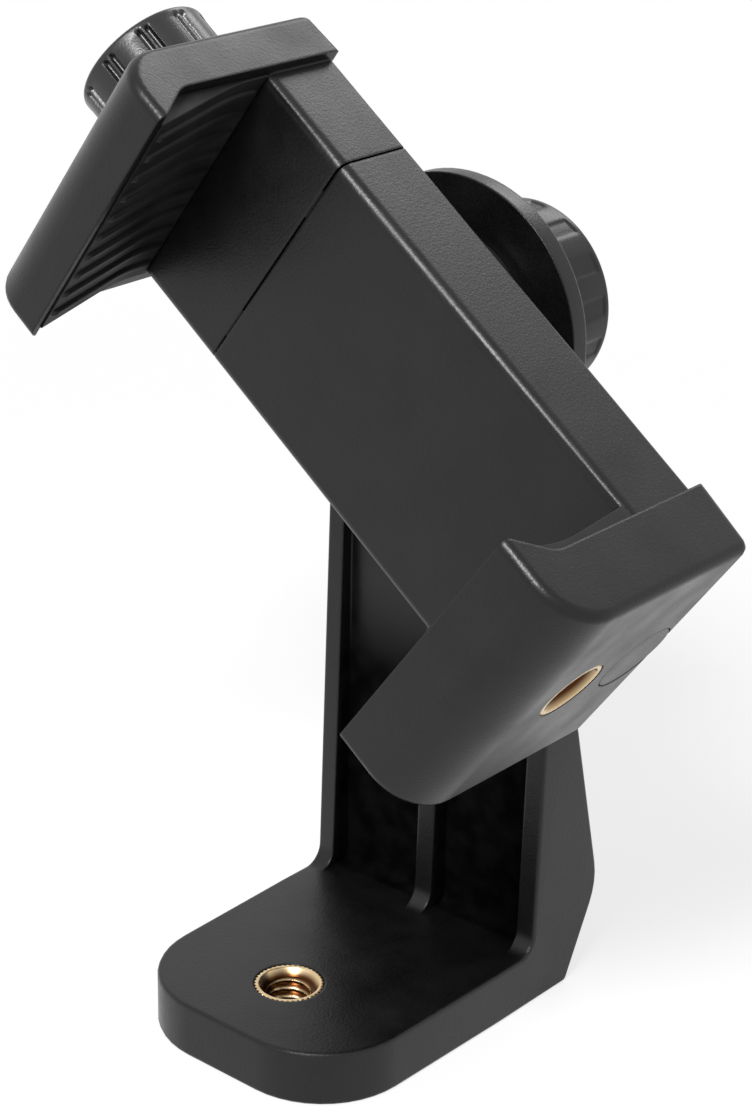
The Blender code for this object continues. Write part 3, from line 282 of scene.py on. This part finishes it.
def dress(node_name, material):
    """Gives a CAD node its finish. Its loose triangles are joined, and its rounds are shaded smoothly and
    its flats flat."""
    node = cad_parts[node_name]
    join = node.modifiers.new("joined", "WELD")
    join.merge_threshold = 1e-6
    flat = node.modifiers.new("flats", "DECIMATE")
    flat.decimate_type = "DISSOLVE"
    flat.angle_limit = math.radians(0.4)
    smooth = node.modifiers.new("rounds", "NODES")
    smooth.node_group = rounds
    even = node.modifiers.new("even_flats", "WEIGHTED_NORMAL")
    even.keep_sharp = True
    for slot in node.material_slots:
        slot.material = material


eroded_nylon = eroded(
    dark=0.0020, pale=0.0050, rough=0.34, grain_cell=0.00032, grain_height=0.00003, edge=0.00042, gloss=0.34,
)
# The lower web is painted with shade through its mask, standing in for the shade that falls there.
dress("bracket", finish("black_nylon_with_painted_web_shade", eroded_nylon, web_shade_paint, web_shade_mask))


# Brass inserts
# Each is turned from free-cutting brass and pressed in hot: a serrated rim flush with the plastic,
# a wide countersink and a quarter-inch camera thread, cut by tap, through its whole length.

def closed_skin(name, grid, material, marks=None, ends=False):
    """Mesh over a closed grid of points, rows by columns: columns run round, and rows run round too or
    end in flat faces. Faces are turned outwards by the sign of the volume they enclose. Each of the
    marks is an attribute for the finish, with a value for each row or for each point."""
    rows, columns = grid.shape[:2]
    index = np.arange(rows * columns).reshape(rows, columns)
    index = np.hstack((index, index[:, :1]))
    if not ends:
        index = np.vstack((index, index[:1]))
    corners = (index[:-1, :-1], index[:-1, 1:], index[1:, 1:], index[1:, :-1])
    quads = np.stack(corners, -1).reshape(-1, 4)
    flat = grid.reshape(-1, 3)
    a, b, c, d = (flat[quads[:, k]] for k in range(4))
    volume = np.einsum("ij,ij->", a, np.cross(b, c)) + np.einsum("ij,ij->", a, np.cross(c, d))
    faces = quads.tolist()
    if ends:
        faces += [index[0, :-1][::-1].tolist(), index[-1, :-1].tolist()]
    if volume < 0.0:
        faces = [face[::-1] for face in faces]
    mesh = bpy.data.meshes.new(name)
    mesh.from_pydata(flat.tolist(), [], faces)
    mesh.polygons.foreach_set("use_smooth", np.ones(len(faces), bool))
    mesh.set_sharp_from_angle(angle=SHARP_ANGLE)
    for mark, values in (marks or {}).items():
        values = np.broadcast_to(values.reshape(rows, -1), (rows, columns))
        attribute = mesh.attributes.new(mark, "FLOAT", "POINT")
        attribute.data.foreach_set("value", values.ravel().astype(np.float32))
    mesh.materials.append(material)
    piece = bpy.data.objects.new(name, mesh)
    scene.collection.objects.link(piece)
    return piece


MM = 0.001
TILT = math.radians(53.5)
PIVOT = np.array((0.0, 0.0, 89.1))
ACROSS = np.array((math.cos(TILT), 0.0, math.sin(TILT)))
DEEP = np.array((0.0, 1.0, 0.0))
ALONG = np.array((-math.sin(TILT), 0.0, math.cos(TILT)))
UPRIGHT_AXES = np.eye(3)
CLAMP_AXES = np.stack((ACROSS, DEEP, ALONG))
KNOB_AXES = np.array(((1.0, 0.0, 0.0), (0.0, 0.0, 1.0), (0.0, 1.0, 0.0)))


def helix(rows, angles, pitch):
    """Share of the thread's depth, row by angle: a flat-crested wave that climbs one pitch a turn."""
    height = np.array(rows, float)[:, 1, None]
    phase = (height / pitch - angles / (2 * np.pi)) % 1.0
    return np.clip(1.25 * (1.0 - np.abs(2.0 * phase - 1.0)) - 0.125, 0.0, 1.0)


def turn(rows, angles, outline, centre, axes, pitch=1.0):
    """Points of a turned form, in metres. Each row of (radius, height, share of the outline, thread
    depth) has radius + share x outline - depth x helix."""
    radius, height, share, depth = (np.array(rows, float)[:, k, None] for k in range(4))
    r = radius + share * outline - depth * helix(rows, angles, pitch)
    local = np.stack((r * np.cos(angles), r * np.sin(angles), height + 0.0 * r), -1)
    return (local @ axes + centre) * MM


def round_angles(count):
    """This many even angles round a turn."""
    return np.arange(count) * 2 * np.pi / count


def run_length(rows):
    """Distance along a profile, row by row, in millimetres."""
    rows = np.array(rows, float)[:, :2]
    return np.concatenate(((0.0,), np.cumsum(np.hypot(*np.diff(rows, axis=0).T))))


GOLDEN_BRASS = (0.64, 0.43, 0.20, 1.0)
PALE_BRASS = (0.88, 0.71, 0.46, 1.0)
# Colour of the painted shade deep in the bores.
SHADED_BRASS = (0.065, 0.022, 0.006, 1.0)


def turned_brass(start):
    """Paint of turned brass: fine tool marks along the profile, stains, and painted shade deep in the bore by
    its attribute.
    """
    path = start.node("Attribute", {"attribute_name": "tool_path"}, {}, "Fac")
    bore_shade = start.node("Attribute", {"attribute_name": "bore_shade"}, {}, "Fac")
    place = start.node("TexCoord", {}, {}, "Object")
    marks = start.node("TexNoise", {"noise_dimensions": "1D"}, {"W": path, "Scale": 9.0, "Detail": 3.0})
    stain = start.node("TexNoise", {}, {"Vector": place, "Scale": 420.0, "Detail": 3.0})
    soft = start.node("Bevel", {"samples": 6}, {"Radius": 0.00008})
    unshaded_brass = (0.5 * marks + 0.5 * stain).climb(0.3, 0.7).blend(GOLDEN_BRASS, PALE_BRASS)
    return {
        "Base Color": (bore_shade + 0.15 * (stain - 0.5)).climb(0.05, 0.95).blend(unshaded_brass, SHADED_BRASS),
        "Metallic": 1.0,
        "Roughness": 0.18 + 0.16 * stain,
        "Normal": start.node(
            "Bump", {}, {"Strength": 0.5, "Distance": 0.00002, "Height": marks, "Normal": soft}
        ),
    }


brass = finish("turned_brass", turned_brass)
TEETH = 40
INSERT_ANGLES = round_angles(4 * TEETH)

# The serration is a cosine wave round the rim, from the full radius inwards
SERRATION = -0.5 + 0.5 * np.cos(TEETH * INSERT_ANGLES)
CAMERA_PITCH = 25.4 / 20
CAMERA_DEPTH = 0.58
MINOR_R = 3.20

# A mouth's rows from its outer wall to its thread: radius, depth below the face, share of the serration
RIM = ((4.56, 0.10, 0.32), (4.52, 0.02, 0.30), (4.44, 0.0, 0.24), (4.24, 0.0, 0.08), (3.90, 0.0, 0.0))
SINK = ((3.84, 0.04), (3.30, 1.05), (MINOR_R, 1.10))

for name, body, centre, axes, low, high, mouth, fade in (
    ("foot_insert", "base", (0.0, 0.0, 0.0), UPRIGHT_AXES, 0.05, 7.40, 7.40, 0.50),
    ("jaw_insert", "clamp", PIVOT + 4.1 * DEEP, CLAMP_AXES, -48.70, -41.35, -48.70, 0.28),
):
    turns = np.arange(low + 1.20, high - 1.15, CAMERA_PITCH / 12)
    profile = [
        (RIM[0][0], low + RIM[0][1], RIM[0][2], 0.0),
        *[(r, high - z, share, 0.0) for r, z, share in RIM],
        *[(r, high - z, 0.0, 0.0) for r, z in SINK],
        *[(MINOR_R, z, 0.0, CAMERA_DEPTH) for z in turns[::-1]],
        *[(r, low + z, 0.0, 0.0) for r, z in SINK[::-1]],
        *[(r, low + z, share, 0.0) for r, z, share in RIM[:0:-1]],
    ]

    # Painted shade deepens with a power of the distance from the mouth that shows, and the crests of the
    # first turns of thread are kept partly out of it, so they read as lit
    down = np.abs(np.array(profile)[:, 1, None] - mouth)
    lit_crest = helix(profile, INSERT_ANGLES, CAMERA_PITCH) ** 3 * (down < 4.0) * (down > 1.1)
    bore_shade = np.clip((down - 0.02) / 0.8, 0.0, 1.0) ** fade * (1.0 - 0.75 * lit_crest)
    insert = closed_skin(
        "threaded_" + name, turn(profile, INSERT_ANGLES, SERRATION, centre, axes, CAMERA_PITCH), brass,
        {"tool_path": run_length(profile), "bore_shade": bore_shade},
    )
    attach(insert, body)
    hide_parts(name)


# Clamp mouldings
# The clamp body ends in the lower jaw, and the upper jaw slides in it on two legs. Both are moulded in
# the bracket's grained black nylon, as is the hub behind the body. The plug pressed into the bore under
# the lower jaw has a deeper grain.

moulding = finish("black_nylon", eroded_nylon)
for name in ("clamp_body", "upper_jaw", "pivot_hub"):
    dress(name, moulding)
plug_nylon = eroded(
    dark=0.0025, pale=0.0060, rough=0.36, grain_cell=0.00028, grain_height=0.00006, edge=0.0002, gloss=0.36,
)
dress("bore_plug", finish("rough_black_nylon", plug_nylon))


# Grip pads
# A strip of moulded black rubber lies in each jaw, thicker at the lip, with ten thin raised ribs that
# run from the lip to the body. It is held by its own shape and a little glue.

def rubber(start):
    """Paint of moulded rubber: a cloudy bloom over a very fine grain."""
    place = start.node("TexCoord", {}, {}, "Object")
    bloom = start.node("TexNoise", {}, {"Vector": place, "Scale": 160.0, "Detail": 5.0})
    fine = start.node("TexNoise", {}, {"Vector": place, "Scale": 4200.0, "Detail": 2.0})
    return {
        "Base Color": bloom.climb(0.35, 0.7).blend(grey(0.008), grey(0.016)),
        "Roughness": 0.50 + 0.18 * bloom,
        "Specular IOR Level": 0.26,
        "Normal": start.node(
            "Bump", {},
            {"Strength": 0.4, "Distance": 0.00002, "Height": fine,
             "Normal": start.node("Bevel", {"samples": 6}, {"Radius": 0.00012})},
        ),
    }


pad_rubber = finish("grip_rubber", rubber)
PAD_HALF = 17.8
PAD_LIP = -10.0
PAD_STEP = -5.05
PAD_HEEL = 10.25
SIDE_ROUND = 0.12
SIDE_DROP = 0.10
VALLEY_BLEND = 2.9
RIB_PITCH = 3.4
RIB_HALF = 0.52
RIB_RISE = 0.45
RIBS_FROM = -9.5
RIBS_TO = 9.4
RIB_SHARES = (-1.25, -1.0, -0.86, -0.66, -0.35, 0.0, 0.35, 0.66, 0.86, 1.0, 1.25)
RIBS = (np.arange(10) - 4.5) * RIB_PITCH


def grip_line(y, front, valley_y, valley, back):
    """Height of a pad's face over the depth y: two straight runs joined by a parabola at the valley."""
    first = (valley - front) / (valley_y - PAD_LIP)
    second = (back - valley) / (PAD_HEEL - valley_y)
    past = y - valley_y
    bend = np.clip(past + VALLEY_BLEND, 0.0, 2 * VALLEY_BLEND) ** 2 / (4 * VALLEY_BLEND)
    return front + first * (y - PAD_LIP) + (second - first) * np.where(past > VALLEY_BLEND, past, bend)


# Across the pad a rib is an arch, the root of one less the fourth power of the distance from its middle.
# Along the depth it rises and falls at its ends in smooth steps.
across = np.unique(np.concatenate(
    [(-PAD_HALF, -PAD_HALF + SIDE_ROUND, PAD_HALF - SIDE_ROUND, PAD_HALF)]
    + [RIBS + RIB_HALF * share for share in RIB_SHARES]
))
from_rib = np.abs(across[:, None] - RIBS).min(1) / RIB_HALF
rib = np.sqrt(np.clip(1.0 - from_rib ** 4, 0.0, 1.0)) * (from_rib < 1.0)
deep = np.concatenate((
    np.linspace(PAD_LIP, -8.6, 8), np.linspace(-8.2, 8.9, 30), np.linspace(9.05, 9.45, 5), (PAD_HEEL,),
))
ends = np.clip((deep - RIBS_FROM) / 0.7, 0.0, 1.0) * np.clip((RIBS_TO - deep) / 0.3, 0.0, 1.0)
ends = ends * ends * (3.0 - 2.0 * ends)

# Each pad has its body, the way its ribs rise, the height of its face at the lip, the depth and height
# of its valley, the height at its heel, and the heights of its seat behind and at the lip
for name, body, sign, front, valley_y, valley, back, seat in (
    ("lower_pad", "clamp", 1.0, -36.3, -1.5, -38.2, -37.2, (-39.85, -37.75)),
    ("upper_pad", "jaw", -1.0, 26.25, 5.15, 29.45, 29.45, (30.25, 27.7)),
):
    face = grip_line(deep, front, valley_y, valley, back)
    under = np.array(((PAD_HEEL, seat[0]), (PAD_STEP, seat[0]), (PAD_LIP, seat[1])))
    edge = (np.abs(across) > PAD_HALF - SIDE_ROUND / 2)[:, None] * SIDE_DROP
    top = face + sign * (RIB_RISE * rib[:, None] * ends - edge)
    line = np.concatenate((top, np.broadcast_to(under[:, 1], (len(across), 3))), 1)
    y = np.concatenate((deep, under[:, 0]))
    local = np.stack(np.broadcast_arrays(across[:, None], y, line), -1)
    pad = closed_skin("ribbed_" + name, (local @ CLAMP_AXES + PIVOT) * MM, pad_rubber, ends=True)
    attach(pad, body)
    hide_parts(name)


# Knobs
# Both knobs are moulded in a harder black nylon, the jaw knob glossier. Its lobes are parted by pairs of
# grooves with a thin ridge between them, and the tilt knob has wide shallow recesses. A round cap closes
# each bore over the screw's head or the nut.

knob_grain = dict(dark=0.0025, pale=0.0060, grain_cell=0.00026, grain_height=0.000022, edge=0.0001)
knob_nylon = finish("knob_nylon", eroded(rough=0.28, gloss=0.60, **knob_grain))
duller_nylon = finish("duller_knob_nylon", eroded(rough=0.36, gloss=0.38, **knob_grain))


GROUP_REACH = 0.56


def lobe_angles(count, group, turned_by):
    """Angles round a knob: close together over each group of grooves, further apart over the lobes."""
    pitch = 2 * np.pi / count
    near = np.linspace(-GROUP_REACH, GROUP_REACH, 25) * group
    far = np.linspace(GROUP_REACH * group, pitch - GROUP_REACH * group, 9)[1:-1]
    return (turned_by + np.arange(count)[:, None] * pitch + np.concatenate((near, far))).ravel()


def off_group(angles, count, turned_by):
    """Angle from the middle of the nearest group of grooves."""
    pitch = 2 * np.pi / count
    return (angles - turned_by + pitch / 2) % pitch - pitch / 2


GROOVE_AT, GROOVE_HALF, RIDGE_HALF = 0.26, 0.165, 0.10
RIDGE_DROP, CROWN_DROP = 0.22, 0.15


def flutes(angles, count, group, turned_by, depth):
    """Depth round a knob: two flat-bottomed grooves a quarter of a group each side of its middle, a
    ridge a little lower than the lobes between them, and lobes that crown by a parabola."""
    off = off_group(angles, count, turned_by)
    to_lobe = np.pi / count - np.abs(off)
    grooves = np.exp(-(((np.abs(off) - GROOVE_AT * group) / (GROOVE_HALF * group)) ** 4))
    ridge = RIDGE_DROP * np.exp(-((off / (RIDGE_HALF * group)) ** 2))
    crown = CROWN_DROP * np.clip(to_lobe / (np.pi / count - group / 2), 0.0, 1.0) ** 2
    return -depth * np.maximum(np.maximum(grooves, ridge), crown)


def recesses(angles, count, group, turned_by, depth):
    """Depth round a knob: a flat-bottomed recess as wide as its group, with steep ends."""
    return -depth * np.exp(-((off_group(angles, count, turned_by) / (0.5 * group)) ** 8))


def quarter(radius, corner_r, corner_z, start, share, count=7):
    """Rows of a fillet: a quarter of an arc about (corner_r, corner_z), with that share of the outline."""
    sweep = np.radians(np.linspace(start, start + 90, count))
    return [(corner_r + radius * math.cos(a), corner_z + radius * math.sin(a), share, 0.0) for a in sweep]


def run_out(radius, start, end, count=7):
    """Rows where the grooves rise to a plain rim along half a wave."""
    sweep = np.linspace(0.0, 1.0, count)
    return [(radius, start + (end - start) * t, 0.5 + 0.5 * math.cos(math.pi * t), 0.0) for t in sweep]


JAW_COUNT = 10
JAW_GROUP = math.radians(14.0)
JAW_TURN = math.radians(1.0)
jaw_angles = lobe_angles(JAW_COUNT, JAW_GROUP, JAW_TURN)
jaw_flutes = flutes(jaw_angles, JAW_COUNT, JAW_GROUP, JAW_TURN, 0.62)

# Rows from the bore at the foot, up the grip, over the top and down into the recess for cap and head
jaw_rows = [
    (2.45, 36.77, 0.0, 0.0), (5.5, 36.77, 0.0, 0.0),
    *quarter(0.45, 8.65, 37.22, -90, 1.0), *run_out(9.1, 47.2, 48.1, 9), *quarter(0.5, 8.6, 48.27, 0, 0.0),
    (6.3, 48.77, 0.0, 0.0), (5.45, 48.75, 0.0, 0.0), (5.27, 48.59, 0.0, 0.0), (5.25, 47.50, 0.0, 0.0),
    (4.12, 47.50, 0.0, 0.0), (4.12, 43.80, 0.0, 0.0), (2.45, 43.80, 0.0, 0.0),
]
SCREW_Y = 15.25
jaw_knob = closed_skin(
    "fluted_jaw_knob", turn(jaw_rows, jaw_angles, jaw_flutes, PIVOT + SCREW_Y * DEEP, CLAMP_AXES), knob_nylon,
)
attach(jaw_knob, "jaw_screw")
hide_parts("jaw_knob")
dress("jaw_knob_cap", knob_nylon)

TILT_COUNT = 14
TILT_GROUP = math.radians(11.5)
TILT_TURN = math.radians(6.2)
tilt_angles = lobe_angles(TILT_COUNT, TILT_GROUP, TILT_TURN)
tilt_recesses = recesses(tilt_angles, TILT_COUNT, TILT_GROUP, TILT_TURN, 0.20)

# Rows from the bore at the washer, out along the grip and back into the recess for the cap
tilt_rows = [
    (3.25, 33.62, 0.0, 0.0), (8.6, 33.62, 0.0, 0.0), (8.6, 35.02, 0.0, 0.0), (11.2, 35.02, 0.0, 0.0),
    *quarter(0.5, 12.0, 35.52, -90, 1.0), *run_out(12.5, 44.1, 44.7), *quarter(0.5, 12.0, 45.02, 0, 0.0),
    (8.2, 45.52, 0.0, 0.0), (5.3, 45.50, 0.0, 0.0), (5.07, 45.34, 0.0, 0.0), (5.05, 44.26, 0.0, 0.0),
    (3.25, 44.26, 0.0, 0.0),
]
tilt_knob = closed_skin(
    "fluted_tilt_knob", turn(tilt_rows, tilt_angles, tilt_recesses, PIVOT, KNOB_AXES), duller_nylon,
)
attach(tilt_knob, "tilt_knob")
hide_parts("tilt_knob")
dress("tilt_knob_cap", duller_nylon)


# Clamp screw
# A zinc-plated steel screw with a rolled metric thread and a hexagon head hidden in the knob. It hangs in
# the upper jaw on a clip, runs down through a nut in the body, and carries a stop at its end.

def plated(start):
    """Paint of bright zinc plate: a faint spangle and fine streaks."""
    place = start.node("TexCoord", {}, {}, "Object")
    spangle = start.node("TexNoise", {}, {"Vector": place, "Scale": 700.0, "Detail": 3.0})
    streak = start.node("TexNoise", {}, {"Vector": place, "Scale": 2600.0, "Detail": 2.0})
    return {
        "Base Color": spangle.climb(0.3, 0.7).blend((0.50, 0.51, 0.53, 1.0), (0.68, 0.69, 0.70, 1.0)),
        "Metallic": 1.0,
        "Roughness": 0.26 + 0.2 * spangle,
        "Normal": start.node(
            "Bump", {},
            {"Strength": 0.35, "Distance": 0.00001, "Height": streak,
             "Normal": start.node("Bevel", {"samples": 6}, {"Radius": 0.00008})},
        ),
    }


steel = finish("zinc_plated_steel", plated)
SCREW_ANGLES = round_angles(36)
HEAD_HALF = 3.5

# A hexagon's outline: half the width across its flats, over the cosine of the angle from a flat's middle
HEX_OUTLINE = HEAD_HALF / np.cos((SCREW_ANGLES + np.pi / 6) % (np.pi / 3) - np.pi / 6)
SCREW_PITCH = 0.8
SCREW_DEPTH = 0.42

# Rows from the tip, past the stop's and the clip's grooves, to the head
screw_rows = [
    (1.75, -28.75, 0.0, 0.0), (2.0, -28.5, 0.0, 0.0), (2.0, -27.3, 0.0, 0.0),
    *[(2.4, z, 0.0, SCREW_DEPTH) for z in np.arange(-27.2, 26.2, SCREW_PITCH / 8)],
    (2.0, 26.24, 0.0, 0.0), (2.0, 27.14, 0.0, 0.0), (2.4, 27.14, 0.0, 0.0), (2.4, 43.89, 0.0, 0.0),
    (0.0, 43.89, 1.0, 0.0), (0.0, 47.25, 1.0, 0.0), (3.2, 47.39, 0.0, 0.0),
]
clamp_screw = closed_skin(
    "threaded_clamp_screw",
    turn(screw_rows, SCREW_ANGLES, HEX_OUTLINE, PIVOT + SCREW_Y * DEEP, CLAMP_AXES, SCREW_PITCH),
    steel, ends=True,
)
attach(clamp_screw, "jaw_screw")
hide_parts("clamp_screw")
for name in ("screw_clip", "screw_stop", "jaw_washer"):
    dress(name, steel)
dress("clamp_nut", brass)


# Pivot hardware
# A plated hexagon bolt, trapped in the hub by two cross-recessed screws, passes through the bracket's
# disc to the rear knob. A rubber ring in front of the disc and a washer behind it give the tilt its grip.

for name in ("pivot_bolt", "tilt_washer", "hub_screw_upper", "hub_screw_lower"):
    dress(name, steel)
dress("friction_ring", pad_rubber)
dress("tilt_nut", brass)
